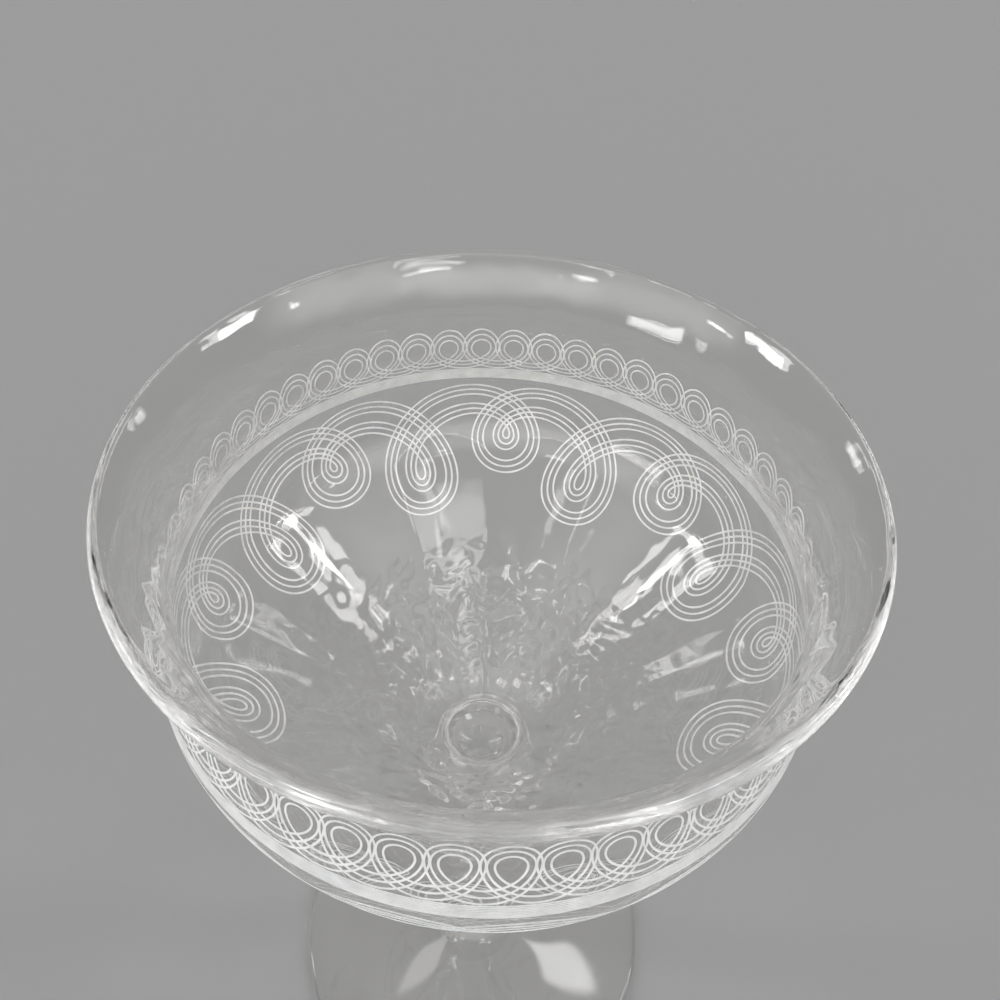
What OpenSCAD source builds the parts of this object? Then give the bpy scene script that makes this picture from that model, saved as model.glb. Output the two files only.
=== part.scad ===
// Coupe glass with an optic-panelled bowl, in millimetres, +Z up.
// The origin is the middle of the foot's resting plane.

/* [Overall] */
// Height of the whole glass, from the table to the top of the rim
total_h = 142.5; // [130:0.5:155]
// Widest diameter of the rim, over its rounded lip
rim_d = 92; // [84:0.5:100]

/* [Bowl] */
// How far the rim flares out past the waist under it
flare_out = 4.6; // [3.8:0.1:5.6]
// Depth of the waist below the top of the rim
waist_drop = 12.6; // [11:0.1:14]
// How far the belly under the waist swells out past it
belly_out = 2.05; // [1.4:0.05:3.2]
// Radius of the belly's curve in side view
belly_round = 17.5; // [15:0.5:20]
// Slope of the cone under the belly, measured up from the level
cone_angle = 40.7; // [38:0.1:43]
// Thickness of the blown wall, which is also the width of the lip
wall = 1.7; // [1.4:0.1:2.1]

/* [Bowl bottom] */
// Diameter of the small cup at the bottom of the inside, at its edge
cup_d = 11; // [9:0.5:12]
// Radius of the cup's hollow
cup_round = 12; // [11:0.5:16]
// Glass between the cup and the seat on the collar
base_glass = 5.8; // [4.5:0.1:7]
// Diameter of the button that the bowl stands on
button_d = 13; // [11:0.5:13.5]
// Radius of the curve from the button into the cone
button_round = 4; // [2:0.5:5]

/* [Optic panels] */
// Number of flat panels round the inside of the cone
panel_count = 12; // [10:1:16]
// Share of a panel's width that is flat, with the round cone left between panels
panel_share = 0.85; // [0.6:0.01:0.95]

/* [Collar] */
// Diameter of the collar over its rounded edge
collar_d = 18.4; // [17.5:0.2:21]
// Height of the collar
collar_h = 4.6; // [3:0.2:5]

/* [Stem] */
// Diameter of the stem where it is slimmest
stem_d = 7.8; // [6.5:0.1:9]
// Diameter of the stem under the collar
stem_top_d = 10.4; // [9.5:0.1:12]
// Radius of the curve by which the stem swells towards the collar
swell_round = 150; // [90:5:180]
// Diameter of the trumpet on the foot
trumpet_d = 16; // [14:0.5:18]
// Radius of the trumpet's curve
trumpet_round = 7; // [5:0.5:9]

/* [Foot] */
// Diameter of the foot over its rounded edge
foot_d = 71; // [66:0.5:76]
// Height of the foot in its middle
foot_h = 6.4; // [5.5:0.1:8]
// Thickness of the foot at its rounded edge
foot_edge = 1.8; // [1.4:0.1:2.4]
// Radius of the shallow curve on top of the foot, in side view
foot_sweep = 120; // [80:5:160]
// Diameter of the hollow under the foot, inside the resting ring
hollow_d = 52; // [44:1:56]
// Depth of that hollow in its middle
hollow_h = 1.6; // [1.4:0.1:2.2]

/* [Hidden] */
$fn = 180;
// Sides of a whole circle of which only a short stretch is used
long_arc_sides = 1440;
glass = [0.86, 0.89, 0.89, 0.35];
over = 1;

// The rim: a full round lip on the end of the wall
lip_round = wall / 2;
lip = [rim_d / 2 - lip_round, total_h - lip_round];

// The flare: an arc centred outside the bowl, level with the waist, that runs into the lip
waist_r = rim_d / 2 - flare_out;
waist_z = total_h - waist_drop;
lip_out = lip[0] - waist_r;
lip_up = lip[1] - waist_z;
flare_round = (lip_out ^ 2 + lip_up ^ 2 - lip_round ^ 2) / (2 * flare_out);
flare = [waist_r + flare_round, waist_z];

// The belly: an arc centred inside the bowl, which turns into the flare without a corner
belly_in = waist_r + belly_out - belly_round;
belly_drop = sqrt((flare_round + belly_round) ^ 2 - (flare[0] - belly_in) ^ 2);
belly = [belly_in, waist_z - belly_drop];

// Points on the wall's surface, where depth is 0 outside and wall inside
function along(from, to, distance) = from + distance * (to - from) / norm(to - from);
function lip_end(depth) = along(flare, lip, flare_round + depth);
function turn(depth) = along(belly, flare, belly_round - depth);
function cone_top(depth) = belly + (belly_round - depth) * [sin(cone_angle), -cos(cone_angle)];
function apex_z(depth) = cone_top(depth)[1] - cone_top(depth)[0] * tan(cone_angle);

// The cup at the bottom of the inside, which ends the cone at an edge
cup_edge_z = apex_z(wall) + cup_d / 2 * tan(cone_angle);
cup_z = cup_edge_z + sqrt(cup_round ^ 2 - (cup_d / 2) ^ 2);

// The button under the bowl and its curve into the cone
seat_z = cup_z - cup_round - base_glass;
button_r = button_d / 2;
button_turn_r = button_r + button_round;
button_turn = [
  button_turn_r,
  apex_z(0) + button_turn_r * tan(cone_angle) - button_round / cos(cone_angle)
];
button_end = button_turn + button_round * [-sin(cone_angle), cos(cone_angle)];

// A flat panel leans a little more steeply than the cone, and meets it at the panel's edges
panel_half = 180 / panel_count;
panel_angle = atan(tan(cone_angle) / cos(panel_share * panel_half));
panel_size = [rim_d, rim_d, rim_d / 4];

// The collar, the stem and the foot, from their shared seats
collar_z = seat_z - collar_h;
stem_r = stem_d / 2;
swell_out = stem_top_d / 2 - stem_r;
swell_z = collar_z - sqrt(swell_round ^ 2 - (swell_round - swell_out) ^ 2);
trumpet_out = trumpet_d / 2 - stem_r;
trumpet_z = foot_h + sqrt(trumpet_round ^ 2 - (trumpet_round - trumpet_out) ^ 2);
edge_round = foot_edge / 2;
edge_r = foot_d / 2 - edge_round;
sweep_low = [edge_r, foot_edge];
sweep_high = [trumpet_d / 2, foot_h];
sweep_span = sweep_low - sweep_high;
sweep_lift = sqrt(foot_sweep ^ 2 - (norm(sweep_span) / 2) ^ 2);
sweep = (sweep_low + sweep_high) / 2 + sweep_lift * [-sweep_span[1], sweep_span[0]] / norm(sweep_span);
hollow_round = ((hollow_d / 2) ^ 2 + hollow_h ^ 2) / (2 * hollow_h);

// Half section of all that lies within the wall's surface at a depth
module within_wall(depth, below, above) {
  difference() {
    union() {
      polygon(concat(below, [cone_top(depth), turn(depth)], above));
      translate(belly)
        circle(belly_round - depth);
    }
    translate(flare)
      circle(flare_round + depth);
  }
}

// Half section of the bowl before it is hollowed, cut off square through the middle of its lip
module bowl_section() {
  mouth = lip_end(wall + over);
  within_wall(0, [[0, button_end[1]], button_end], [lip_end(-over), mouth, [0, mouth[1]]]);
  difference() {
    polygon([
      [0, seat_z],
      [button_r, seat_z],
      [button_r, button_turn[1]],
      button_end,
      [0, button_end[1]]
    ]);
    translate(button_turn)
      circle(button_round);
  }
}

// Half section of the round inside of the bowl, down to the cup that ends its cone
module hollow_section() {
  brim = lip + [0, wall + over];
  tip_z = apex_z(wall);
  difference() {
    within_wall(wall, [[0, tip_z]], [lip, brim, [0, brim[1]]]);
    difference() {
      translate([0, tip_z - over])
        square([cup_d / 2 + over, cup_z - tip_z]);
      translate([0, cup_z])
        circle(cup_round);
    }
  }
}

// The inside of the bowl: round, with a flat panel left standing in each part of its cone
module panelled_hollow() {
  difference() {
    rotate([0, 0, panel_half])
      rotate_extrude()
        hollow_section();
    for (k = [0:panel_count - 1])
      translate([0, 0, apex_z(wall)])
        rotate([0, -panel_angle, (2 * k + 1) * panel_half])
          translate([0, -panel_size[1] / 2, -panel_size[2]])
            cube(panel_size);
  }
}

module bowl() {
  color(glass) {
    difference() {
      rotate_extrude()
        bowl_section();
      panelled_hollow();
    }
    rotate_extrude()
      translate(lip)
        circle(lip_round);
  }
}

module collar() {
  edge = collar_h / 2;
  color(glass)
    translate([0, 0, collar_z])
      rotate_extrude() {
        square([collar_d / 2 - edge, collar_h]);
        translate([collar_d / 2 - edge, edge])
          circle(edge);
      }
}

// Lower half section of the stem, with the trumpet
module trumpet_section() {
  difference() {
    polygon([
      [0, foot_h],
      [trumpet_d / 2, foot_h],
      [stem_r, trumpet_z],
      [stem_r, swell_z],
      [0, swell_z]
    ]);
    translate([stem_r + trumpet_round, trumpet_z])
      circle(trumpet_round);
  }
}

// Upper half section of the stem, which swells towards the collar
module swell_section() {
  difference() {
    polygon([
      [0, swell_z],
      [stem_r, swell_z],
      [stem_top_d / 2, collar_z],
      [0, collar_z]
    ]);
    translate([stem_r + swell_round, swell_z])
      circle(swell_round, $fn = long_arc_sides);
  }
}

module stem() {
  color(glass)
    rotate_extrude() {
      trumpet_section();
      swell_section();
    }
}

module foot() {
  color(glass)
    rotate_extrude()
      difference() {
        union() {
          polygon([[0, 0], [edge_r, 0], sweep_low, sweep_high, [0, foot_h]]);
          translate([edge_r, edge_round])
            circle(edge_round);
        }
        translate(sweep)
          circle(foot_sweep, $fn = long_arc_sides);
        translate([0, hollow_h - hollow_round])
          circle(hollow_round, $fn = long_arc_sides);
      }
}

bowl();
collar();
stem();
foot();
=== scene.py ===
"""Looks of a stemmed coupe glass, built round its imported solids.

Four turned pieces of clear glass are joined hot: bowl, collar, stem and foot. The bowl is blown into
a mould that leaves flat optic panels round the inside of its cone, and a needle machine has etched
three bands of fine frosted lines round its outside. Sizes are in millimetres until a mesh is made.
"""

import logging
import math
from dataclasses import dataclass, field, replace
from enum import Enum
from typing import Iterable, Mapping, Optional, Sequence, Union

import bmesh
import bpy
from mathutils import Matrix, Vector


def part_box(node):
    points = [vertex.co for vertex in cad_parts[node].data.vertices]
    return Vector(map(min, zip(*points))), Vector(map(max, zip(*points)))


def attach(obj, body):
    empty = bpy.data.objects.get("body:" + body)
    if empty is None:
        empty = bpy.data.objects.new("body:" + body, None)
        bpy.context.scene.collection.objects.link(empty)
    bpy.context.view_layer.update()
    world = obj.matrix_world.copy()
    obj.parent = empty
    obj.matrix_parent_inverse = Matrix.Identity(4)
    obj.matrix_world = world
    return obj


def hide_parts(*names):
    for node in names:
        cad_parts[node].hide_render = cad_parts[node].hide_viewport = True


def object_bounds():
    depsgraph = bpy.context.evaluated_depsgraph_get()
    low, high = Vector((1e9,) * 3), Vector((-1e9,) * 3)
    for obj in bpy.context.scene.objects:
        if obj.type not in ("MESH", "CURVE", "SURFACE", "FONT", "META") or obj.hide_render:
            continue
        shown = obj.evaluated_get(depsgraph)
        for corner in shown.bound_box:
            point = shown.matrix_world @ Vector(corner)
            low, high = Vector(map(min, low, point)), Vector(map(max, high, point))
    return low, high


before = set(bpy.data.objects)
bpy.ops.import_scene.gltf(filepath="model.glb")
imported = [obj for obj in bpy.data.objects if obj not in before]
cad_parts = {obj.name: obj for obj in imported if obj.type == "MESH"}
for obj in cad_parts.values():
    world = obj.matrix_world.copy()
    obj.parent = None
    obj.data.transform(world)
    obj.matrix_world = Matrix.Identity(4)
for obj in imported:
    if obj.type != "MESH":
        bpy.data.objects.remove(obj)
CAD_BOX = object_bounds()

LOG = logging.getLogger("coupe_glass")
MM = 0.001
SAME_PLACE = 1e-4
# Once round the axis, in radians, and two angles for outlines, in degrees
FULL_TURN = 2 * math.pi
RIGHT_ANGLE = 90.0
STRAIGHT_ANGLE = 180.0
BODY = "root"

Point = tuple[float, float]
Place = tuple[float, float, float]
Colour = tuple[float, float, float, float]
Plug = Union[bpy.types.NodeSocket, bpy.types.ID, float, int, bool, str, Sequence[float]]


class Surface(Enum):
    """What a stretch of a turned piece's outline is."""

    OUTSIDE = "outside"
    INSIDE = "inside"
    JOINT = "joint"


class Hang(Enum):
    """Which way the loops of an etched band point."""

    DOWN = 1.0
    UP = -1.0


def grey(value: float) -> Colour:
    """Returns a neutral colour."""
    return (value, value, value, 1.0)


class TreeWriter:
    """A node tree in the making, with short calls for its nodes and links."""

    # Numbers of a Mix node's sockets when it mixes colours
    MIX_SHARE, MIX_FIRST, MIX_SECOND, MIX_RESULT = 0, 6, 7, 2

    def __init__(self, tree: bpy.types.NodeTree) -> None:
        """Starts writing into a tree."""
        self.tree = tree
        self.entry: Optional[bpy.types.Node] = None

    def interface(self, inputs: Mapping[str, str], outputs: Mapping[str, str]) -> bpy.types.Node:
        """Gives the tree its named inputs and outputs.

        Args:
            inputs: Socket type of each input, by name.
            outputs: Socket type of each output, by name.

        Returns:
            The tree's output node.
        """
        for name, kind in inputs.items():
            self.tree.interface.new_socket(name=name, in_out="INPUT", socket_type=kind)
        for name, kind in outputs.items():
            self.tree.interface.new_socket(name=name, in_out="OUTPUT", socket_type=kind)
        self.entry = self.tree.nodes.new("NodeGroupInput")
        return self.tree.nodes.new("NodeGroupOutput")

    def given(self, name: str) -> bpy.types.NodeSocket:
        """Returns the socket of one of the tree's own inputs."""
        return self.entry.outputs[name]

    def plug(self, socket: bpy.types.NodeSocket, value: Plug) -> None:
        """Links a socket to another one, or sets its plain value.

        Args:
            socket: The input to fill.
            value: An output socket, or a value.
        """
        if isinstance(value, bpy.types.NodeSocket):
            self.tree.links.new(value, socket)
        else:
            socket.default_value = value

    def node(
        self,
        kind: str,
        plugs: Optional[Mapping[Union[str, int], Plug]] = None,
        settings: Optional[Mapping[str, object]] = None,
    ) -> bpy.types.Node:
        """Adds a node.

        Args:
            kind: Blender's name of the node type.
            plugs: What goes into its inputs, by name or by number.
            settings: The node's own options.

        Returns:
            The new node.
        """
        made = self.tree.nodes.new(kind)
        for name, value in (settings or {}).items():
            setattr(made, name, value)
        for key, value in (plugs or {}).items():
            self.plug(made.inputs[key], value)
        return made

    def math(self, operation: str, *values: Plug) -> bpy.types.NodeSocket:
        """Adds a sum on one to three values.

        Args:
            operation: Blender's name of the operation.
            values: The values, in order.

        Returns:
            The result's socket.
        """
        made = self.node("ShaderNodeMath", dict(enumerate(values)), {"operation": operation})
        return made.outputs["Value"]

    def vector(self, x: Plug, y: Plug, z: Plug) -> bpy.types.NodeSocket:
        """Returns the socket of a vector of three values."""
        return self.node("ShaderNodeCombineXYZ", {0: x, 1: y, 2: z}).outputs["Vector"]

    def parts(self, vector: bpy.types.NodeSocket) -> Sequence[bpy.types.NodeSocket]:
        """Returns the three sockets of a vector's parts."""
        return list(self.node("ShaderNodeSeparateXYZ", {0: vector}).outputs)

    def turned(self, vector: Plug, angle: Plug) -> bpy.types.NodeSocket:
        """Returns the socket of a vector that is turned about the glass's axis."""
        plugs = {"Vector": vector, "Angle": angle}
        return self.node("ShaderNodeVectorRotate", plugs, {"rotation_type": "Z_AXIS"}).outputs["Vector"]

    def attribute(self, name: str, kind: str) -> bpy.types.NodeSocket:
        """Returns the socket of a mesh attribute."""
        node = self.node("GeometryNodeInputNamedAttribute", {"Name": name}, {"data_type": kind})
        return node.outputs["Attribute"]

    def noise(self, vector: Plug, scale: Plug, detail: float) -> bpy.types.NodeSocket:
        """Returns the socket of a cloudy value from 0 to 1."""
        plugs = {"Vector": vector, "Scale": scale, "Detail": detail}
        return self.node("ShaderNodeTexNoise", plugs).outputs[0]

    def mixed(self, share: Plug, first: Plug, second: Plug) -> bpy.types.NodeSocket:
        """Mixes two colours.

        Args:
            share: How much of the second colour there is, from 0 to 1.
            first: The first colour.
            second: The second colour.

        Returns:
            The mixed colour's socket.
        """
        plugs = {self.MIX_SHARE: share, self.MIX_FIRST: first, self.MIX_SECOND: second}
        return self.node("ShaderNodeMix", plugs, {"data_type": "RGBA"}).outputs[self.MIX_RESULT]

    def ramp(self, value: Plug, stops: Sequence[Point]) -> bpy.types.NodeSocket:
        """Makes a grey that follows a value along straight stretches.

        Args:
            value: The value, from 0 to 1.
            stops: Places along the value and the grey at each of them, in order.

        Returns:
            The grey's socket.
        """
        made = self.node("ShaderNodeValToRGB", {"Fac": value})
        elements = made.color_ramp.elements
        for place, _ in stops[1:-1]:
            elements.new(place)
        for element, (place, shade) in zip(elements, stops):
            element.position = place
            element.color = grey(shade)
        return made.outputs["Color"]


def spread(start: float, end: float, steps: int) -> list[float]:
    """Returns evenly spread values from start to end, both included."""
    return [start + (end - start) * i / steps for i in range(steps + 1)]


def straight(start: Point, end: Point, steps: int) -> list[Point]:
    """Lays points along a straight line.

    Args:
        start: First point.
        end: Last point.
        steps: Number of stretches between them.

    Returns:
        The points, both ends included.
    """
    return list(zip(spread(start[0], end[0], steps), spread(start[1], end[1], steps)))


def on_circle(centre: Point, radius: float, angle: float) -> Point:
    """Finds a point of a circle.

    Args:
        centre: Centre of the circle.
        radius: Its radius.
        angle: Direction of the point, in degrees up from the outward direction.

    Returns:
        The point.
    """
    turn = math.radians(angle)
    return (centre[0] + radius * math.cos(turn), centre[1] + radius * math.sin(turn))


def arc(centre: Point, radius: float, start: float, end: float, steps: int) -> list[Point]:
    """Lays points along an arc.

    Args:
        centre: Centre of the arc.
        radius: Its radius.
        start: First angle, in degrees up from the outward direction.
        end: Last angle.
        steps: Number of stretches between them.

    Returns:
        The points, both ends included.
    """
    return [on_circle(centre, radius, angle) for angle in spread(start, end, steps)]


def heading(start: Point, end: Point) -> float:
    """Returns the direction from one point to another, in degrees up from the outward direction."""
    return math.degrees(math.atan2(end[1] - start[1], end[0] - start[0]))


class Outline:
    """Half section of a turned piece, as points along its surface."""

    def __init__(self) -> None:
        """Starts with no points."""
        self.points: list[Point] = []
        self.surfaces: list[Surface] = []

    def run(self, points: Iterable[Point], surface: Surface = Surface.OUTSIDE) -> None:
        """Goes on along more points, and leaves out one that is there already.

        Args:
            points: The points, in order.
            surface: What this stretch is.
        """
        for point in points:
            if not self.points or math.dist(point, self.points[-1]) > SAME_PLACE:
                self.points.append(point)
                self.surfaces.append(surface)

    def mesh(self, name: str) -> bpy.types.Mesh:
        """Makes a polyline in the XZ plane that carries what each of its points is.

        Args:
            name: The mesh's name.

        Returns:
            The polyline, in metres.
        """
        made = bpy.data.meshes.new(name)
        places = [(radius * MM, 0.0, height * MM) for radius, height in self.points]
        made.from_pydata(places, [(i, i + 1) for i in range(len(places) - 1)], [])
        for mark in (Surface.INSIDE, Surface.JOINT):
            layer = made.attributes.new(mark.value, "BOOLEAN", "POINT")
            layer.data.foreach_set("value", [surface is mark for surface in self.surfaces])
        return made


class GlassTurner:
    """The Geometry Nodes tree that turns an outline into a piece of glass with optic panels."""

    INPUTS = {
        "Outline": "NodeSocketGeometry",
        "Segments": "NodeSocketInt",
        "Panels": "NodeSocketInt",
        "Panel slope": "NodeSocketFloat",
        "Panel softness": "NodeSocketFloat",
        "Cone tip": "NodeSocketFloat",
        "Ripple": "NodeSocketFloat",
        "Ripple size": "NodeSocketFloat",
        "Swirl": "NodeSocketFloat",
        "Swirl size": "NodeSocketFloat",
        "Swirl start": "NodeSocketFloat",
        "Swirl full": "NodeSocketFloat",
        "Swirl end": "NodeSocketFloat",
        "Glass": "NodeSocketMaterial",
        "Fused joint": "NodeSocketMaterial",
    }
    SWIRL_TWIST = 1.5

    def __init__(self) -> None:
        """Writes the tree."""
        self.pen = TreeWriter(bpy.data.node_groups.new("turned_glass", "GeometryNodeTree"))
        leave = self.pen.interface(self.INPUTS, {"Geometry": "NodeSocketGeometry"})
        self.pen.plug(leave.inputs["Geometry"], self.dressed(self.rippled(self.closed(self.turned_grid()))))

    @property
    def tree(self) -> bpy.types.NodeTree:
        """The finished tree."""
        return self.pen.tree

    def on_outline(self, value: Plug, ring: Plug, kind: str) -> bpy.types.NodeSocket:
        """Reads a value of the outline's points.

        Args:
            value: The value's field.
            ring: Number of the outline's point.
            kind: Blender's name of the value's type.

        Returns:
            The value at that point.
        """
        plugs = {"Geometry": self.pen.given("Outline"), "Value": value, "Index": ring}
        return self.pen.node("GeometryNodeSampleIndex", plugs, {"data_type": kind}).outputs["Value"]

    def marked(self, grid: bpy.types.NodeSocket, surface: Surface, ring: Plug) -> bpy.types.NodeSocket:
        """Stores on the grid which points lie on such a stretch of the outline.

        Args:
            grid: The grid.
            surface: The stretch.
            ring: Number of the outline's point for each point of the grid.

        Returns:
            The grid with the mark on it.
        """
        mark = self.on_outline(self.pen.attribute(surface.value, "BOOLEAN"), ring, "BOOLEAN")
        settings = {"data_type": "BOOLEAN", "domain": "POINT"}
        plugs = {"Geometry": grid, "Name": surface.value, "Value": mark}
        return self.pen.node("GeometryNodeStoreNamedAttribute", plugs, settings).outputs["Geometry"]

    def turned_grid(self) -> bpy.types.NodeSocket:
        """Bends a grid round the axis, with the outline along one of its sides.

        Returns:
            The turned grid, with flat panels standing inside the cone.
        """
        pen = self.pen
        size = pen.node("GeometryNodeAttributeDomainSize", {"Geometry": pen.given("Outline")})
        rings = size.outputs["Point Count"]
        columns = pen.math("ADD", pen.given("Segments"), 1.0)
        plugs = {"Size X": 1.0, "Size Y": 1.0, "Vertices X": rings, "Vertices Y": columns}
        grid = pen.node("GeometryNodeMeshGrid", plugs).outputs["Mesh"]
        place = pen.node("GeometryNodeInputPosition").outputs["Position"]
        across, around, _ = pen.parts(place)
        last = pen.math("SUBTRACT", rings, 1.0)
        ring = pen.math("ROUND", pen.math("MULTIPLY", pen.math("ADD", across, 0.5), last))
        angle = pen.math("MULTIPLY", pen.math("ADD", around, 0.5), FULL_TURN)
        for surface in (Surface.INSIDE, Surface.JOINT):
            grid = self.marked(grid, surface, ring)
        radius, _, height = pen.parts(self.on_outline(place, ring, "FLOAT_VECTOR"))
        inside = pen.attribute(Surface.INSIDE.value, "BOOLEAN")
        lift = pen.math("MULTIPLY", self.panel_lift(radius, height, angle), inside)
        spot = pen.turned(pen.vector(radius, 0.0, pen.math("ADD", height, lift)), angle)
        return pen.node("GeometryNodeSetPosition", {"Geometry": grid, "Position": spot}).outputs["Geometry"]

    def panel_lift(self, radius: Plug, height: Plug, angle: Plug) -> bpy.types.NodeSocket:
        """Works out how far a flat panel stands above the round cone.

        Args:
            radius: Distance from the axis.
            height: Height of the round inside.
            angle: Place round the axis, which is 0 on an edge between two panels.

        Returns:
            The height to add.
        """
        pen = self.pen
        width = pen.math("DIVIDE", FULL_TURN, pen.given("Panels"))
        off_middle = pen.math("SUBTRACT", pen.math("MODULO", angle, width), pen.math("DIVIDE", width, 2.0))
        reach = pen.math("MULTIPLY", radius, pen.math("COSINE", off_middle))
        flat = pen.math("MULTIPLY_ADD", reach, pen.given("Panel slope"), pen.given("Cone tip"))
        softness = pen.math("MULTIPLY", pen.given("Panel softness"), radius)
        return pen.math("SUBTRACT", pen.math("SMOOTH_MAX", flat, height, softness), height)

    def closed(self, grid: bpy.types.NodeSocket) -> bpy.types.NodeSocket:
        """Returns the turned grid with its seam and its poles closed."""
        plugs = {"Geometry": grid, "Distance": SAME_PLACE * MM}
        return self.pen.node("GeometryNodeMergeByDistance", plugs).outputs["Geometry"]

    def rippled(self, glass: bpy.types.NodeSocket) -> bpy.types.NodeSocket:
        """Lets the blown inside wander a little from its mould.

        Args:
            glass: The closed glass.

        Returns:
            The glass with soft ripples inside, and with swirls round the cup.
        """
        pen = self.pen
        place = pen.node("GeometryNodeInputPosition").outputs["Position"]
        cloud = pen.noise(place, pen.math("DIVIDE", 1.0, pen.given("Ripple size")), detail=1.0)
        swing = pen.math("MULTIPLY", pen.math("SUBTRACT", cloud, 0.5), pen.given("Ripple"))
        swirl = pen.noise(place, pen.math("DIVIDE", 1.0, pen.given("Swirl size")), detail=1.0)
        pen.plug(swirl.node.inputs["Distortion"], self.SWIRL_TWIST)
        across, along, _ = pen.parts(place)
        flat = {0: pen.vector(across, along, 0.0)}
        radius = pen.node("ShaderNodeVectorMath", flat, {"operation": "LENGTH"}).outputs["Value"]
        # The swirls stand round the cup, which is smooth itself, and fade on the way up the cone
        height: Plug = pen.given("Swirl")
        for start, end in (("Swirl start", "Swirl full"), ("Swirl end", "Swirl full")):
            plugs = {"Value": radius, "From Min": pen.given(start), "From Max": pen.given(end)}
            share = pen.node("ShaderNodeMapRange", plugs, {"interpolation_type": "SMOOTHSTEP"})
            height = pen.math("MULTIPLY", height, share.outputs["Result"])
        swing = pen.math("MULTIPLY_ADD", pen.math("SUBTRACT", swirl, 0.5), height, swing)
        swing = pen.math("MULTIPLY", swing, pen.attribute(Surface.INSIDE.value, "BOOLEAN"))
        normal = pen.node("GeometryNodeInputNormal").outputs["Normal"]
        offset = pen.node("ShaderNodeVectorMath", {0: normal, "Scale": swing}, {"operation": "SCALE"})
        plugs = {"Geometry": glass, "Offset": offset.outputs["Vector"]}
        return pen.node("GeometryNodeSetPosition", plugs).outputs["Geometry"]

    def dressed(self, glass: bpy.types.NodeSocket) -> bpy.types.NodeSocket:
        """Sets the glass's material, and another one on its hidden joints.

        Args:
            glass: The finished shape.

        Returns:
            The glass with its materials.
        """
        pen = self.pen
        plain = pen.node("GeometryNodeRealizeInstances", {"Geometry": glass}).outputs["Geometry"]
        clear = pen.node("GeometryNodeSetMaterial", {"Geometry": plain, "Material": pen.given("Glass")})
        plugs = {
            "Geometry": clear.outputs["Geometry"],
            "Selection": pen.attribute(Surface.JOINT.value, "BOOLEAN"),
            "Material": pen.given("Fused joint"),
        }
        return pen.node("GeometryNodeSetMaterial", plugs).outputs["Geometry"]


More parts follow.
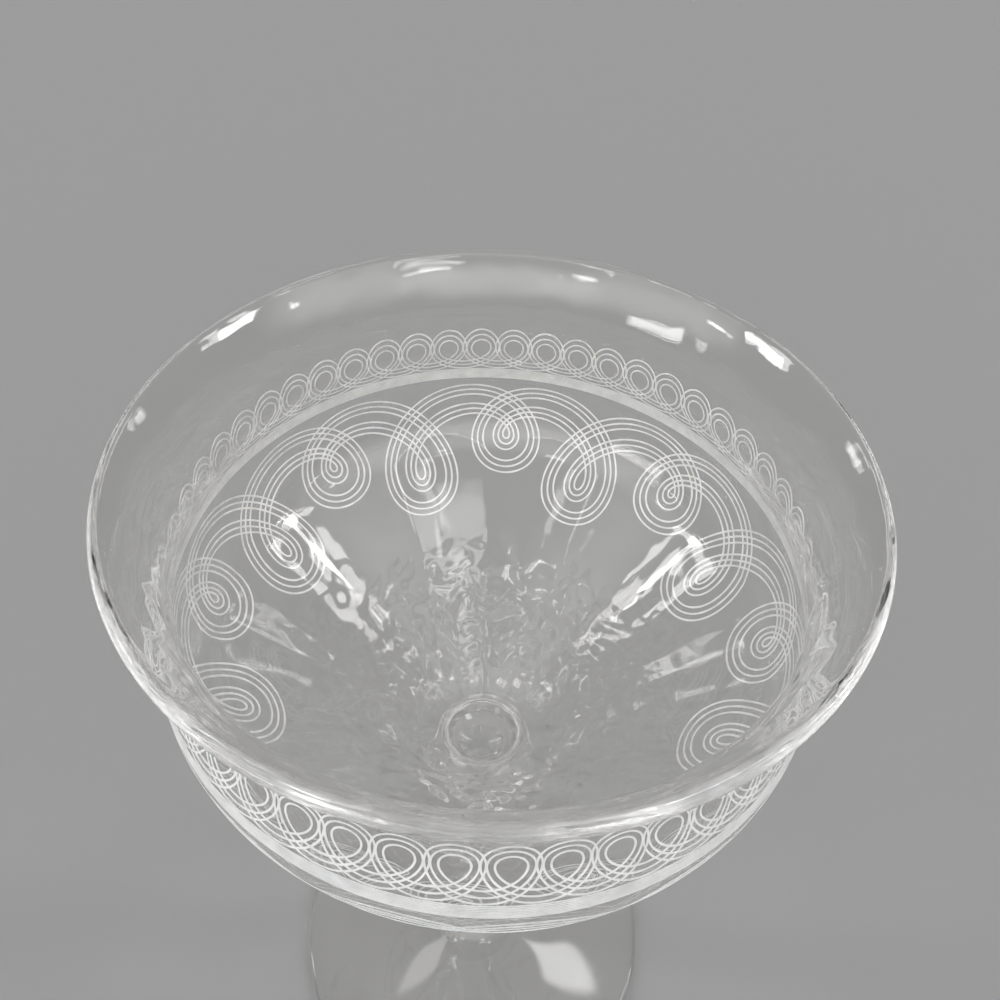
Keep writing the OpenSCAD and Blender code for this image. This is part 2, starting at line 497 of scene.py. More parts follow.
class NeedleMachine:
    """The Geometry Nodes tree that draws looped lines round the outside of the bowl."""

    INPUTS = {
        "Outline": "NodeSocketGeometry",
        "Points": "NodeSocketInt",
        "Loops": "NodeSocketInt",
        "Needles": "NodeSocketInt",
        "Start": "NodeSocketFloat",
        "Middle": "NodeSocketFloat",
        "Spacing": "NodeSocketFloat",
        "Loop radius": "NodeSocketFloat",
        "Radius step": "NodeSocketFloat",
        "Roundness": "NodeSocketFloat",
        "Roundness step": "NodeSocketFloat",
        "Hang": "NodeSocketFloat",
        "Drop": "NodeSocketFloat",
        "Lean": "NodeSocketFloat",
        "Line width": "NodeSocketFloat",
        "Line depth": "NodeSocketFloat",
        "Line gap": "NodeSocketFloat",
        "Unevenness": "NodeSocketFloat",
        "Frost": "NodeSocketMaterial",
    }
    FLICKER_SIZE = 1.6

    def __init__(self) -> None:
        """Writes the tree."""
        self.pen = TreeWriter(bpy.data.node_groups.new("needle_machine", "GeometryNodeTree"))
        leave = self.pen.interface(self.INPUTS, {"Geometry": "NodeSocketGeometry"})
        self.pen.plug(leave.inputs["Geometry"], self.frosted(self.drawn()))

    @property
    def tree(self) -> bpy.types.NodeTree:
        """The finished tree."""
        return self.pen.tree

    def drawn(self) -> bpy.types.NodeSocket:
        """Moves closed curves, one for each needle, to the path that the machine gives them.

        Returns:
            The curves on the bowl, with normals that stand square to its surface.
        """
        pen = self.pen
        ring = pen.node("GeometryNodeCurvePrimitiveCircle", {"Resolution": pen.given("Points")})
        plugs = {"Geometry": ring.outputs["Curve"], "Amount": pen.given("Needles")}
        copies = pen.node("GeometryNodeDuplicateElements", plugs, {"domain": "SPLINE"})
        needle = copies.outputs["Duplicate Index"]
        index = pen.node("GeometryNodeSplineParameter").outputs["Index"]
        share = pen.math("DIVIDE", index, pen.given("Points"))
        swing = pen.math("MULTIPLY", pen.math("MULTIPLY", share, FULL_TURN), pen.given("Loops"))
        alternate = pen.math("COSINE", pen.math("DIVIDE", swing, 2.0))

        radius = pen.math("MULTIPLY_ADD", needle, pen.given("Radius step"), pen.given("Loop radius"))
        hung = pen.math("MULTIPLY", radius, pen.given("Hang"))
        down = pen.math("MULTIPLY", hung, pen.math("COSINE", swing))
        down = pen.math("MULTIPLY_ADD", alternate, pen.given("Drop"), down)
        row = pen.math("MULTIPLY_ADD", needle, pen.given("Spacing"), pen.given("Middle"))
        down = pen.math("ADD", down, row)
        roundness = pen.math("MULTIPLY_ADD", needle, pen.given("Roundness step"), pen.given("Roundness"))
        back = pen.math("MULTIPLY", pen.math("MULTIPLY", radius, roundness), pen.math("SINE", swing))
        side = pen.math("SUBTRACT", pen.math("MULTIPLY", alternate, pen.given("Lean")), back)

        outline = pen.node("GeometryNodeMeshToCurve", {"Mesh": pen.given("Outline")}).outputs["Curve"]
        on_bowl = pen.node("GeometryNodeSampleCurve", {"Curves": outline}, {"mode": "LENGTH"})
        pen.plug(on_bowl.inputs["Length"], down)
        out, _, _ = pen.parts(on_bowl.outputs["Position"])
        along_out, _, along_up = pen.parts(on_bowl.outputs["Tangent"])
        turn = pen.math("MULTIPLY_ADD", share, FULL_TURN, pen.given("Start"))
        turn = pen.math("ADD", turn, pen.math("DIVIDE", side, out))
        # Places round the bowl are counted from the back and towards the right
        angle = pen.math("SUBTRACT", FULL_TURN / 4, turn)
        spot = pen.turned(on_bowl.outputs["Position"], angle)
        square = pen.turned(pen.vector(pen.math("MULTIPLY", along_up, -1.0), 0.0, along_out), angle)
        clear = pen.math("MULTIPLY_ADD", pen.given("Line depth"), 0.5, pen.given("Line gap"))
        lift = pen.node("ShaderNodeVectorMath", {0: square, "Scale": clear}, {"operation": "SCALE"})
        plugs = {"Geometry": copies.outputs["Geometry"], "Position": spot, "Offset": lift.outputs["Vector"]}
        path = pen.node("GeometryNodeSetPosition", plugs).outputs["Geometry"]
        settled = pen.node("GeometryNodeSetCurveNormal", {"Curve": path}, {"mode": "FREE"})
        pen.plug(settled.inputs["Normal"], square)
        return settled.outputs["Curve"]

    def frosted(self, path: bpy.types.NodeSocket) -> bpy.types.NodeSocket:
        """Gives the curves the section of a shallow etched line.

        Args:
            path: The curves.

        Returns:
            The lines as a mesh, with their material.
        """
        pen = self.pen
        plugs = {"Width": pen.given("Line depth"), "Height": pen.given("Line width")}
        section = pen.node("GeometryNodeCurvePrimitiveQuadrilateral", plugs).outputs["Curve"]
        place = pen.node("GeometryNodeInputPosition").outputs["Position"]
        flicker = pen.math("SUBTRACT", pen.noise(place, 1 / (self.FLICKER_SIZE * MM), detail=1.0), 0.5)
        scale = pen.math("MULTIPLY_ADD", flicker, pen.given("Unevenness"), 1.0)
        plugs = {"Curve": path, "Profile Curve": section, "Scale": scale}
        lines = pen.node("GeometryNodeCurveToMesh", plugs).outputs["Mesh"]
        plain = pen.node("GeometryNodeRealizeInstances", {"Geometry": lines}).outputs["Geometry"]
        plugs = {"Geometry": plain, "Material": pen.given("Frost")}
        return pen.node("GeometryNodeSetMaterial", plugs).outputs["Geometry"]


def grown(
    name: str, tree: bpy.types.NodeTree, seed: bpy.types.Mesh, values: Mapping[str, object]
) -> bpy.types.Object:
    """Runs a Geometry Nodes tree and keeps its result as a plain mesh.

    Args:
        name: Name of the new piece.
        tree: The tree.
        seed: The mesh that goes into it.
        values: The tree's other inputs, by name.

    Returns:
        The new piece, at the origin.
    """
    source = bpy.data.objects.new(name + "_outline", seed)
    bpy.context.scene.collection.objects.link(source)
    modifier = source.modifiers.new(tree.name, "NODES")
    modifier.node_group = tree
    for item in tree.interface.items_tree:
        if item.item_type == "SOCKET" and item.name in values:
            modifier[item.identifier] = values[item.name]
    graph = bpy.context.evaluated_depsgraph_get()
    made = bpy.data.meshes.new_from_object(source.evaluated_get(graph), depsgraph=graph)
    source.modifiers.remove(modifier)
    bpy.data.objects.remove(source)
    made.name = name
    while None in made.materials[:]:
        made.materials.pop(index=made.materials[:].index(None))
    piece = bpy.data.objects.new(name, made)
    bpy.context.scene.collection.objects.link(piece)
    return piece


def finished(piece: bpy.types.Object, crease: float) -> bpy.types.Object:
    """Points a piece's faces outwards and shades it smoothly between its creases.

    Args:
        piece: The piece.
        crease: Least angle of a crease, in degrees.

    Returns:
        The piece itself.
    """
    shape = bmesh.new()
    shape.from_mesh(piece.data)
    bmesh.ops.recalc_face_normals(shape, faces=shape.faces)
    shape.to_mesh(piece.data)
    shape.free()
    piece.data.shade_smooth()
    piece.data.set_sharp_from_angle(angle=math.radians(crease))
    return piece


@dataclass(frozen=True)
class NodeReach:
    """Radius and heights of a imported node, in millimetres."""

    radius: float
    low: float
    high: float

    @classmethod
    def of(cls, node: str) -> "NodeReach":
        """Reads a node's box from the frame.

        Args:
            node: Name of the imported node.

        Returns:
            The node's reach.
        """
        low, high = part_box(node)
        return cls(high.x / MM, low.z / MM, high.z / MM)


@dataclass(frozen=True)
class Cloud:
    """Values of a cloudy mask, with its size in millimetres.

    What lies in the cloud between start and end is spread out from low to high.
    """

    size: float
    detail: float
    start: float = 0.0
    end: float = 1.0
    low: float = 0.0
    high: float = 1.0


class UnevenMask:
    """The shader group of a cloudy mask, for smears on glass and for uneven frosting."""

    def __init__(self) -> None:
        """Writes the group."""
        pen = TreeWriter(bpy.data.node_groups.new("uneven_mask", "ShaderNodeTree"))
        floats = ("Size", "Detail", "From", "To", "Low", "High")
        leave = pen.interface({name: "NodeSocketFloat" for name in floats}, {"Mask": "NodeSocketFloat"})
        place = pen.node("ShaderNodeTexCoord").outputs["Object"]
        cloud = pen.noise(place, pen.math("DIVIDE", 1.0, pen.given("Size")), detail=0.0)
        pen.plug(cloud.node.inputs["Detail"], pen.given("Detail"))
        plugs = {
            "Value": cloud,
            "From Min": pen.given("From"),
            "From Max": pen.given("To"),
            "To Min": pen.given("Low"),
            "To Max": pen.given("High"),
        }
        pen.plug(leave.inputs["Mask"], pen.node("ShaderNodeMapRange", plugs).outputs["Result"])
        self.tree = pen.tree

    def placed(self, pen: TreeWriter, cloud: Cloud) -> bpy.types.NodeSocket:
        """Puts the group into a material.

        Args:
            pen: Writer of the material's tree.
            cloud: The mask's values.

        Returns:
            The mask's socket.
        """
        plugs = {
            "Size": cloud.size * MM,
            "Detail": cloud.detail,
            "From": cloud.start,
            "To": cloud.end,
            "Low": cloud.low,
            "High": cloud.high,
        }
        return pen.node("ShaderNodeGroup", plugs, {"node_tree": self.tree}).outputs["Mask"]


def blank_material(name: str) -> tuple[bpy.types.Material, TreeWriter, bpy.types.Node]:
    """Makes a material with an empty tree.

    Args:
        name: The material's name.

    Returns:
        The material, the writer of its tree and its output node.
    """
    made = bpy.data.materials.new(name)
    made.use_nodes = True
    made.node_tree.nodes.clear()
    pen = TreeWriter(made.node_tree)
    return made, pen, pen.node("ShaderNodeOutputMaterial")


@dataclass(frozen=True)
class ClearGlass:
    """Colourless blown glass, with soft waves from the mould and faint smears."""

    ior: float = 1.5
    clean_tint: Colour = (0.993, 0.989, 0.976, 1.0)
    smeared_tint: Colour = (0.970, 0.967, 0.956, 1.0)
    smear: Cloud = Cloud(size=22.0, detail=5.0, start=0.5, end=0.72)
    rough: Cloud = Cloud(size=16.0, detail=6.0, start=0.5, end=0.75, low=0.004, high=0.05)
    wave: Cloud = Cloud(size=8.0, detail=1.0)
    wave_height: float = 0.6
    wave_share: tuple[Point, ...] = ((0.0, 0.03), (0.5, 0.06), (0.78, 0.3), (1.0, 0.6))

    def make(self, mask: UnevenMask) -> bpy.types.Material:
        """Makes the material.

        Args:
            mask: The shared group of cloudy masks.

        Returns:
            The glass.
        """
        made, pen, leave = blank_material("blown_glass")
        # Stem and foot are smooth, and the waves grow towards the rim that was opened by hand
        _, _, height = pen.parts(pen.node("ShaderNodeTexCoord").outputs["Object"])
        share = pen.ramp(pen.math("MULTIPLY", height, 1 / CAD_BOX[1].z), self.wave_share)
        plugs = {"Height": mask.placed(pen, self.wave), "Distance": self.wave_height * MM, "Strength": share}
        bump = pen.node("ShaderNodeBump", plugs).outputs["Normal"]
        plugs = {
            "Base Color": pen.mixed(mask.placed(pen, self.smear), self.clean_tint, self.smeared_tint),
            "Roughness": mask.placed(pen, self.rough),
            "IOR": self.ior,
            "Transmission Weight": 1.0,
            "Normal": bump,
        }
        pen.plug(leave.inputs["Surface"], pen.node("ShaderNodeBsdfPrincipled", plugs).outputs["BSDF"])
        return made


@dataclass(frozen=True)
class FusedJoint:
    """The place where two pieces were joined hot, which can't be seen in the finished glass."""

    def make(self) -> bpy.types.Material:
        """Returns a material that shows nothing."""
        made, pen, leave = blank_material("fused_joint")
        plugs = {"Base Color": grey(1.0), "Alpha": 0.0, "Roughness": 0.0}
        pen.plug(leave.inputs["Surface"], pen.node("ShaderNodeBsdfPrincipled", plugs).outputs["BSDF"])
        return made


@dataclass(frozen=True)
class FrostedLine:
    """Glass that acid has roughened along a needle's path."""

    thin_frost: Colour = (0.81, 0.815, 0.815, 1.0)
    full_frost: Colour = (0.955, 0.955, 0.95, 1.0)
    frost: Cloud = Cloud(size=2.2, detail=3.0, start=0.3, end=0.65)
    rough: Cloud = Cloud(size=0.5, detail=2.0, start=0.3, end=0.7, low=0.55, high=0.8)
    see_through: float = 0.1
    ior: float = 1.3

    def make(self, mask: UnevenMask) -> bpy.types.Material:
        """Makes the material.

        Args:
            mask: The shared group of cloudy masks.

        Returns:
            The frost.
        """
        made, pen, leave = blank_material("frosted_line")
        plugs = {
            "Base Color": pen.mixed(mask.placed(pen, self.frost), self.thin_frost, self.full_frost),
            "Roughness": mask.placed(pen, self.rough),
            "IOR": self.ior,
            "Transmission Weight": self.see_through,
        }
        pen.plug(leave.inputs["Surface"], pen.node("ShaderNodeBsdfPrincipled", plugs).outputs["BSDF"])
        return made


@dataclass(frozen=True)
class Finishes:
    """The materials of the glass, made once."""

    glass: bpy.types.Material
    joint: bpy.types.Material
    frost: bpy.types.Material

    @classmethod
    def made(cls) -> "Finishes":
        """Returns the materials."""
        mask = UnevenMask()
        return cls(ClearGlass().make(mask), FusedJoint().make(), FrostedLine().make(mask))


@dataclass
class TurnedPiece:
    """A piece of glass that is turned round the axis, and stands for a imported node."""

    node: str
    segments: int = 180
    crease: float = 38.0
    reach: NodeReach = field(init=False)

    def __post_init__(self) -> None:
        """Reads the piece's reach from the frame."""
        self.reach = NodeReach.of(self.node)

    def outline(self) -> Outline:
        """Returns the piece's half section."""
        raise NotImplementedError

    def shaping(self) -> dict[str, object]:
        """Returns the inputs of the tree that only this kind of piece sets."""
        return {}

    def build(self, turner: GlassTurner, finishes: Finishes) -> bpy.types.Object:
        """Makes the piece's mesh.

        Args:
            turner: The tree that turns outlines.
            finishes: The materials.

        Returns:
            The piece.
        """
        # One panel and sizes of 1 keep the tree from dividing by nothing on a plain piece
        values = {
            "Segments": self.segments,
            "Panels": 1,
            "Ripple size": 1.0,
            "Swirl size": 1.0,
            "Glass": finishes.glass,
            "Fused joint": finishes.joint,
            **self.shaping(),
        }
        seed = self.outline().mesh(self.node + "_outline")
        return finished(grown(self.node + "_glass", turner.tree, seed, values), self.crease)

    def dress(self, piece: bpy.types.Object) -> None:
        """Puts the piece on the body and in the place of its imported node.

        Args:
            piece: The piece.
        """
        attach(piece, BODY)
        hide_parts(self.node)


@dataclass
class Bowl(TurnedPiece):
    """The blown bowl: flared rim, waist, belly, panelled cone and the button that it stands on."""

    node: str = "bowl"
    segments: int = 264
    flare_out: float = 4.6
    waist_drop: float = 12.6
    belly_out: float = 2.05
    belly_round: float = 17.5
    cone_angle: float = 40.7
    wall: float = 1.7
    cup_radius: float = 5.5
    cup_round: float = 12.0
    button_radius: float = 6.5
    button_round: float = 4.0
    panels: int = 12
    panel_share: float = 0.85
    panel_softness: float = 0.004
    ripple: float = 0.12
    ripple_size: float = 8.0
    swirl: float = 1.3
    swirl_size: float = 4.4
    swirl_start: float = 6.5
    swirl_full: float = 14.0
    swirl_end: float = 30.0

    def __post_init__(self) -> None:
        """Works out the centres of the outline's arcs, and the angles at which they meet."""
        super().__post_init__()
        self.lip_round = self.wall / 2
        self.lip: Point = (self.reach.radius - self.lip_round, self.reach.high - self.lip_round)
        waist = self.reach.radius - self.flare_out
        waist_height = self.reach.high - self.waist_drop
        out, up = self.lip[0] - waist, self.lip[1] - waist_height
        self.flare_round = (out**2 + up**2 - self.lip_round**2) / (2 * self.flare_out)
        self.flare: Point = (waist + self.flare_round, waist_height)
        belly = waist + self.belly_out - self.belly_round
        drop = math.sqrt((self.flare_round + self.belly_round) ** 2 - (self.flare[0] - belly) ** 2)
        self.belly: Point = (belly, waist_height - drop)
        self.slope = math.tan(math.radians(self.cone_angle))
        self.lip_angle = heading(self.flare, self.lip)
        self.turn_angle = heading(self.belly, self.flare)
        self.flare_low = STRAIGHT_ANGLE + self.turn_angle
        self.cone_low = self.cone_angle - RIGHT_ANGLE
        self.button_top = RIGHT_ANGLE + self.cone_angle

    def cone_top(self, depth: float) -> Point:
        """Returns where the belly runs into the cone, at a depth in the wall."""
        return on_circle(self.belly, self.belly_round - depth, self.cone_low)

    def cone_tip(self, depth: float) -> float:
        """Returns the height of the cone's tip, at a depth in the wall."""
        radius, height = self.cone_top(depth)
        return height - radius * self.slope

    def button_turn(self) -> Point:
        """Returns the centre of the curve from the button into the cone."""
        radius = self.button_radius + self.button_round
        fall = self.button_round / math.cos(math.radians(self.cone_angle))
        return radius, self.cone_tip(0) + radius * self.slope - fall

    def outline(self) -> Outline:
        """Returns the bowl's half section, from its seat over the rim to the bottom of its inside."""
        turn = self.button_turn()
        seat_edge = (self.button_radius, self.reach.low)
        button_end = on_circle(turn, self.button_round, self.button_top)
        cup_edge = (self.cup_radius, self.cone_tip(self.wall) + self.cup_radius * self.slope)
        cup_rise = math.sqrt(self.cup_round**2 - self.cup_radius**2)
        cup = (0.0, cup_edge[1] + cup_rise)
        lip_low = self.lip_angle - STRAIGHT_ANGLE
        made = Outline()
        made.run(straight((0, self.reach.low), seat_edge, steps=3), Surface.JOINT)
        made.run(straight(seat_edge, (self.button_radius, turn[1]), steps=6))
        made.run(arc(turn, self.button_round, STRAIGHT_ANGLE, self.button_top, steps=10))
        made.run(straight(button_end, self.cone_top(0), steps=32))
        made.run(arc(self.belly, self.belly_round, self.cone_low, self.turn_angle, steps=44))
        made.run(arc(self.flare, self.flare_round, self.flare_low, self.lip_angle, steps=38))
        made.run(arc(self.lip, self.lip_round, lip_low, self.lip_angle, steps=14))
        inner_flare = self.flare_round + self.wall
        inner_belly = self.belly_round - self.wall
        made.run(arc(self.flare, inner_flare, self.lip_angle, self.flare_low, steps=38))
        made.run(arc(self.belly, inner_belly, self.turn_angle, self.cone_low, steps=44), Surface.INSIDE)
        made.run(straight(self.cone_top(self.wall), cup_edge, steps=56), Surface.INSIDE)
        cup_start = heading(cup, cup_edge)
        made.run(arc(cup, self.cup_round, cup_start, -RIGHT_ANGLE, steps=10), Surface.INSIDE)
        return made

    def etched_outline(self, lead: float) -> Outline:
        """Lays out the outside of the wall, downwards.

        Args:
            lead: How far above the waist the outline starts, along the surface.

        Returns:
            The outline, down to the button.
        """
        turn = self.button_turn()
        start = STRAIGHT_ANGLE - math.degrees(lead / self.flare_round)
        made = Outline()
        made.run(arc(self.flare, self.flare_round, start, self.flare_low, steps=60))
        made.run(arc(self.belly, self.belly_round, self.turn_angle, self.cone_low, steps=120))
        made.run(arc(turn, self.button_round, self.button_top, STRAIGHT_ANGLE, steps=10))
        return made

    def shaping(self) -> dict[str, object]:
        """Returns the inputs of the tree for the panels, the ripples and the swirls."""
        half = math.radians(STRAIGHT_ANGLE / self.panels * self.panel_share)
        return {
            "Panels": self.panels,
            "Panel slope": self.slope / math.cos(half),
            "Panel softness": self.panel_softness,
            "Cone tip": self.cone_tip(self.wall) * MM,
            "Ripple": self.ripple * MM,
            "Ripple size": self.ripple_size * MM,
            "Swirl": self.swirl * MM,
            "Swirl size": self.swirl_size * MM,
            "Swirl start": self.swirl_start * MM,
            "Swirl full": self.swirl_full * MM,
            "Swirl end": self.swirl_end * MM,
        }


@dataclass
class Collar(TurnedPiece):
    """The wafer of glass between bowl and stem, with a fully rounded edge."""

    node: str = "collar"
    seat_radius: float = 6.5
    stem_radius: float = 5.2

    def outline(self) -> Outline:
        """Returns the collar's half section, from its underside up."""
        low, high = self.reach.low, self.reach.high
        edge = (high - low) / 2
        flat = self.reach.radius - edge
        made = Outline()
        made.run(straight((0, low), (self.stem_radius, low), steps=3), Surface.JOINT)
        made.run(arc((flat, low + edge), edge, -RIGHT_ANGLE, RIGHT_ANGLE, steps=28))
        made.run(straight((self.seat_radius, high), (0, high), steps=3), Surface.JOINT)
        return made


@dataclass
class Stem(TurnedPiece):
    """The drawn stem, which swells under the collar and spreads into a trumpet on the foot."""

    node: str = "stem"
    slim_radius: float = 3.9
    top_radius: float = 5.2
    swell_round: float = 150.0
    trumpet_round: float = 7.0

    def outline(self) -> Outline:
        """Returns the stem's half section, from the foot up."""
        low, high, wide = self.reach.low, self.reach.high, self.reach.radius
        slim = self.slim_radius
        spread_in = self.trumpet_round - (wide - slim)
        trumpet = (slim + self.trumpet_round, low + math.sqrt(self.trumpet_round**2 - spread_in**2))
        swell_in = self.swell_round - (self.top_radius - slim)
        swell = (slim + self.swell_round, high - math.sqrt(self.swell_round**2 - swell_in**2))
        made = Outline()
        made.run(straight((0, low), (wide, low), steps=3), Surface.JOINT)
        trumpet_start = heading(trumpet, (wide, low)) % (2 * STRAIGHT_ANGLE)
        made.run(arc(trumpet, self.trumpet_round, trumpet_start, STRAIGHT_ANGLE, steps=20))
        made.run(straight((slim, trumpet[1]), (slim, swell[1]), steps=24))
        swell_end = heading(swell, (self.top_radius, high))
        made.run(arc(swell, self.swell_round, STRAIGHT_ANGLE, swell_end, steps=20))
        made.run(straight((self.top_radius, high), (0, high), steps=3), Surface.JOINT)
        return made


@dataclass
class Foot(TurnedPiece):
    """The spread foot: a low cone with a rounded edge, hollowed underneath inside a resting ring."""

    node: str = "foot"
    segments: int = 240
    edge: float = 1.8
    trumpet_radius: float = 8.0
    sweep_round: float = 120.0
    hollow_radius: float = 26.0
    hollow_depth: float = 1.6

    def outline(self) -> Outline:
        """Returns the foot's half section, from the middle of its underside."""
        edge_round = self.edge / 2
        rim = self.reach.radius - edge_round
        hollow_round = (self.hollow_radius**2 + self.hollow_depth**2) / (2 * self.hollow_depth)
        hollow = (0.0, self.hollow_depth - hollow_round)
        low, high = (rim, self.edge), (self.trumpet_radius, self.reach.high)
        across = math.dist(low, high)
        lift = math.sqrt(self.sweep_round**2 - (across / 2) ** 2) / across
        middle = ((low[0] + high[0]) / 2, (low[1] + high[1]) / 2)
        sweep = (middle[0] + lift * (high[1] - low[1]), middle[1] + lift * (low[0] - high[0]))
        made = Outline()
        hollow_end = heading(hollow, (self.hollow_radius, 0.0))
        made.run(arc(hollow, hollow_round, RIGHT_ANGLE, hollow_end, steps=40))
        made.run(straight((self.hollow_radius, 0.0), (rim, 0.0), steps=8))
        made.run(arc((rim, edge_round), edge_round, -RIGHT_ANGLE, RIGHT_ANGLE, steps=16))
        made.run(arc(sweep, self.sweep_round, heading(sweep, low), heading(sweep, high), steps=44))
        made.run(straight(high, (0.0, self.reach.high), steps=3), Surface.JOINT)
        return made


@dataclass(frozen=True)
class EtchedBand:
    """A band of frosted lines, drawn round the bowl by a row of needles."""

    name: str
    needles: int
    middle: float
    loops: int = 1
    points_per_loop: int = 64
    start: float = 0.0
    spacing: float = 0.0
    loop_radius: float = 0.0
    radius_step: float = 0.0
    roundness: float = 1.0
    roundness_step: float = 0.0
    hang: Hang = Hang.DOWN
    drop: float = 0.0
    lean: float = 0.0
    line_width: float = 0.31
    line_depth: float = 0.04
    line_gap: float = 0.015
    unevenness: float = 0.5
    lead: float = 4.0
    crease: float = 60.0

    def build(self, machine: NeedleMachine, bowl: Bowl, finishes: Finishes) -> bpy.types.Object:
        """Draws the band.

        Args:
            machine: The tree that draws lines.
            bowl: The bowl that carries them.
            finishes: The materials.

        Returns:
            The band's piece.
        """
        values = {
            "Points": self.loops * self.points_per_loop,
            "Loops": self.loops,
            "Needles": self.needles,
            "Start": math.radians(self.start),
            "Middle": (self.lead + self.middle) * MM,
            "Spacing": self.spacing * MM,
            "Loop radius": self.loop_radius * MM,
            "Radius step": self.radius_step * MM,
            "Roundness": self.roundness,
            "Roundness step": self.roundness_step,
            "Hang": self.hang.value,
            "Drop": self.drop * MM,
            "Lean": self.lean * MM,
            "Line width": self.line_width * MM,
            "Line depth": self.line_depth * MM,
            "Line gap": self.line_gap * MM,
            "Unevenness": self.unevenness,
            "Frost": finishes.frost,
        }
        seed = bowl.etched_outline(self.lead).mesh(self.name + "_outline")
        return finished(grown(self.name, machine.tree, seed, values), self.crease)

    def dress(self, piece: bpy.types.Object) -> None:
        """Puts the band on the body.

        Args:
            piece: The band's piece.
        """
        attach(piece, BODY)


ETCHED_BANDS = (
    EtchedBand(
        name="etched_rings",
        needles=3,
        middle=4.03,
        loops=48,
        points_per_loop=72,
        start=2.7,
        loop_radius=4.5,
        radius_step=-0.985,
        roundness=0.95,
        roundness_step=0.085,
        hang=Hang.UP,
        line_width=0.24,
    ),
    EtchedBand(
        name="etched_lines",
        needles=8,
        middle=8.9,
        points_per_loop=528,
        spacing=0.31,
        line_width=0.2,
    ),
    EtchedBand(
        name="etched_border_outer",
        needles=3,
        middle=22.8,
        loops=16,
        points_per_loop=120,
        start=24.2,
        loop_radius=9.8,
        radius_step=-1.03,
        roundness=0.98,
        drop=3.2,
        lean=-0.3,
    ),
    EtchedBand(
        name="etched_border_inner",
        needles=3,
        middle=22.8,
        loops=16,
        points_per_loop=96,
        start=24.2,
        loop_radius=5.75,
        radius_step=-1.03,
        roundness=0.98,
        drop=3.2,
        lean=-0.3,
    ),
)


@dataclass(frozen=True)
class Softbox:
    """A soft lamp far from the glass, as a bright patch of the world, with its angles in degrees."""

    turn: float
    rise: float
    half_width: float
    half_height: float
    radiance: float
    edge: float = 2.0

    def ahead(self) -> Vector:
        """Returns the direction of the lamp's middle, counted from the back and towards the right."""
        turn, rise = math.radians(self.turn), math.radians(self.rise)
        return Vector((math.cos(rise) * math.sin(turn), math.cos(rise) * math.cos(turn), math.sin(rise)))

    def shine(self, pen: TreeWriter, way: bpy.types.NodeSocket) -> bpy.types.NodeSocket:
        """Writes the lamp's light into the world.

        Args:
            pen: Writer of the world's tree.
            way: Direction that is looked in.

        Returns:
            The lamp's light in that direction.
        """
        ahead = self.ahead()
        across = ahead.cross(Vector((0.0, 0.0, 1.0))).normalized()
        up = across.cross(ahead)

        def along(axis: Vector) -> bpy.types.NodeSocket:
            """Returns the socket of the direction's part along an axis."""
            settings = {"operation": "DOT_PRODUCT"}
            return pen.node("ShaderNodeVectorMath", {0: way, 1: axis}, settings).outputs["Value"]

        depth = pen.math("MAXIMUM", along(ahead), SAME_PLACE)
        light: Plug = self.radiance
        for axis, half in ((across, self.half_width), (up, self.half_height)):
            off = pen.math("ABSOLUTE", pen.math("DIVIDE", along(axis), depth))
            full, none = (math.tan(math.radians(angle)) for angle in (half - self.edge, half))
            plugs = {"Value": off, "From Min": full, "From Max": none, "To Min": 1.0, "To Max": 0.0}
            within = pen.node("ShaderNodeMapRange", plugs, {"interpolation_type": "SMOOTHSTEP"})
            light = pen.math("MULTIPLY", light, within.outputs["Result"])
        return light


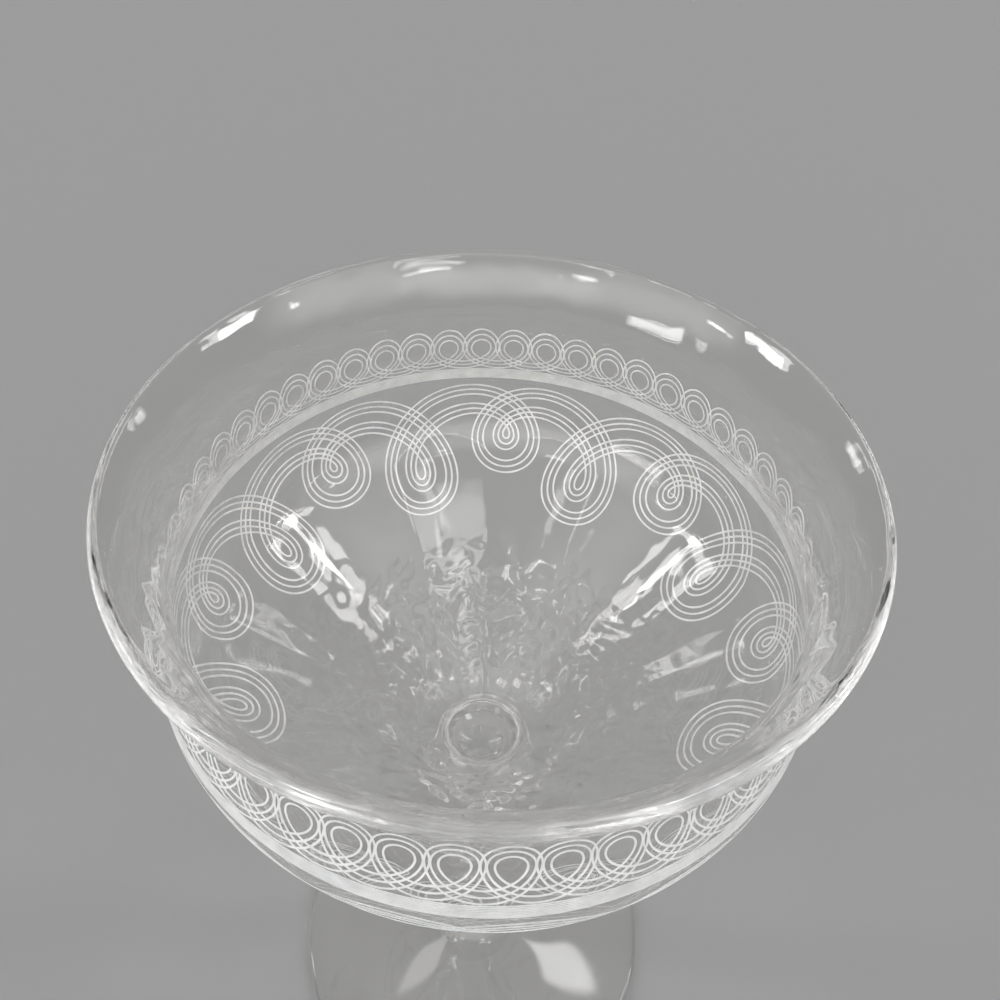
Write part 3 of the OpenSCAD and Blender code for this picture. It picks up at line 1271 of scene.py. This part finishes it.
@dataclass(frozen=True)
class Studio:
    """Pale floor, soft light and the camera."""

    floor_grey: float = 0.32
    floor_roughness: float = 0.85
    floor_gloss: float = 0.2
    floor_radius: float = 5.0
    floor_drop: float = 0.00005
    floor_sides: int = 96
    sky: tuple[Point, ...] = ((0.0, 0.18), (0.3, 0.1), (0.6, 0.25), (0.8, 0.45), (1.0, 0.7))
    # Small lamps gleam on the panels, the rim and the foot, and wide faint ones fill the room with light
    single_lamps: tuple[Softbox, ...] = (
        Softbox(turn=-126.0, rise=9.0, half_width=11.0, half_height=6.0, radiance=7.0),
        Softbox(turn=66.0, rise=66.0, half_width=5.0, half_height=5.0, radiance=8.0),
        Softbox(turn=-95.0, rise=70.0, half_width=5.0, half_height=5.0, radiance=3.5),
        Softbox(turn=154.0, rise=47.5, half_width=7.0, half_height=3.2, radiance=4.0),
        Softbox(turn=-20.0, rise=38.0, half_width=10.0, half_height=5.0, radiance=5.0),
        Softbox(turn=27.0, rise=38.0, half_width=10.0, half_height=5.0, radiance=5.0),
        Softbox(turn=180.0, rise=26.0, half_width=34.0, half_height=24.0, radiance=1.8, edge=20.0),
    )
    paired_lamps: tuple[Softbox, ...] = (
        Softbox(turn=86.0, rise=32.0, half_width=4.3, half_height=5.4, radiance=18.0),
        Softbox(turn=51.0, rise=18.0, half_width=3.0, half_height=4.0, radiance=6.0),
        Softbox(turn=154.0, rise=40.0, half_width=5.0, half_height=3.0, radiance=7.0),
        Softbox(turn=107.0, rise=30.0, half_width=2.5, half_height=2.5, radiance=12.0),
        Softbox(turn=138.0, rise=50.0, half_width=3.0, half_height=4.0, radiance=5.0),
        Softbox(turn=130.0, rise=30.0, half_width=36.0, half_height=26.0, radiance=1.5, edge=24.0),
    )
    eye: Place = (0.00015, -0.07941, 0.21728)
    eye_right: Place = (0.998720, 0.033022, 0.038310)
    eye_up: Place = (-0.050577, 0.652059, 0.756480)
    focal_pixels: float = 915.0
    image_pixels: float = 1000.0
    axis_pixel: Point = (500.0, 408.18)
    sensor: float = 36.0
    nearest_view: float = 0.005
    bounces: int = 80
    glass_bounces: int = 64
    clear_bounces: int = 32

    def lamps(self) -> list[Softbox]:
        """Returns all the lamps, with the second one of each pair on the other side."""
        mirrored = [replace(lamp, turn=-lamp.turn) for lamp in self.paired_lamps]
        return [*self.single_lamps, *self.paired_lamps, *mirrored]

    def lay_floor(self) -> None:
        """Lays the floor just under the foot."""
        made, pen, leave = blank_material("studio_floor")
        plugs = {
            "Base Color": grey(self.floor_grey),
            "Roughness": self.floor_roughness,
            "Specular IOR Level": self.floor_gloss,
        }
        pen.plug(leave.inputs["Surface"], pen.node("ShaderNodeBsdfPrincipled", plugs).outputs["BSDF"])
        shape = bmesh.new()
        bmesh.ops.create_circle(shape, cap_ends=True, segments=self.floor_sides, radius=self.floor_radius)
        bmesh.ops.translate(shape, verts=shape.verts, vec=(0.0, 0.0, -self.floor_drop))
        mesh = bpy.data.meshes.new("studio_floor")
        shape.to_mesh(mesh)
        shape.free()
        mesh.materials.append(made)
        floor = bpy.data.objects.new("studio_floor", mesh)
        bpy.context.scene.collection.objects.link(floor)

    def open_sky(self) -> None:
        """Makes the world: grey at the horizon, darker above it and pale overhead, with the lamps in it."""
        world = bpy.data.worlds.new("studio_sky")
        world.use_nodes = True
        world.node_tree.nodes.clear()
        pen = TreeWriter(world.node_tree)
        way = pen.node("ShaderNodeTexCoord").outputs["Generated"]
        _, _, up = pen.parts(way)
        light = pen.ramp(up, self.sky)
        # The lamps light the glass and gleam in it, but stay out of the picture's background
        unseen = pen.math("SUBTRACT", 1.0, pen.node("ShaderNodeLightPath").outputs["Is Camera Ray"])
        for lamp in self.lamps():
            light = pen.math("MULTIPLY_ADD", lamp.shine(pen, way), unseen, light)
        sky = pen.node("ShaderNodeBackground", {"Color": light}).outputs["Background"]
        pen.plug(pen.node("ShaderNodeOutputWorld").inputs["Surface"], sky)
        bpy.context.scene.world = world

    def set_camera(self) -> None:
        """Puts the camera where the glass is seen from, above its rim and in front of it."""
        lens = bpy.data.cameras.new("camera")
        lens.sensor_width = self.sensor
        lens.lens = self.focal_pixels / self.image_pixels * self.sensor
        lens.shift_x = (self.image_pixels / 2 - self.axis_pixel[0]) / self.image_pixels
        lens.shift_y = (self.axis_pixel[1] - self.image_pixels / 2) / self.image_pixels
        lens.clip_start = self.nearest_view
        right, up = Vector(self.eye_right).normalized(), Vector(self.eye_up).normalized()
        turn = Matrix((right, up, right.cross(up))).transposed()
        camera = bpy.data.objects.new("camera", lens)
        camera.matrix_world = Matrix.Translation(self.eye) @ turn.to_4x4()
        bpy.context.scene.collection.objects.link(camera)
        bpy.context.scene.camera = camera

    def set_up(self) -> None:
        """Puts up floor, light and camera."""
        scene = bpy.context.scene
        scene.view_settings.view_transform = "Standard"
        scene.cycles.max_bounces = self.bounces
        scene.cycles.transmission_bounces = self.glass_bounces
        scene.cycles.glossy_bounces = self.glass_bounces
        scene.cycles.transparent_max_bounces = self.clear_bounces
        # Light that comes through the glass stays sharp, or what lies behind it goes dark
        scene.cycles.caustics_reflective = True
        scene.cycles.caustics_refractive = True
        scene.cycles.blur_glossy = 0.0
        self.lay_floor()
        self.open_sky()
        self.set_camera()


def report(piece: bpy.types.Object) -> None:
    """Logs what a piece holds."""
    LOG.info("%s: %d points, %d faces", piece.name, len(piece.data.vertices), len(piece.data.polygons))


def main() -> None:
    """Builds the glass piece by piece, then the studio round it."""
    finishes = Finishes.made()
    turner = GlassTurner()
    bowl = Bowl()
    for part in (bowl, Collar(), Stem(), Foot()):
        piece = part.build(turner, finishes)
        part.dress(piece)
        report(piece)
    machine = NeedleMachine()
    for band in ETCHED_BANDS:
        piece = band.build(machine, bowl, finishes)
        band.dress(piece)
        report(piece)
    Studio().set_up()


if __name__ == "__main__":
    logging.basicConfig(level=logging.INFO, format="%(name)s: %(message)s")
    main()
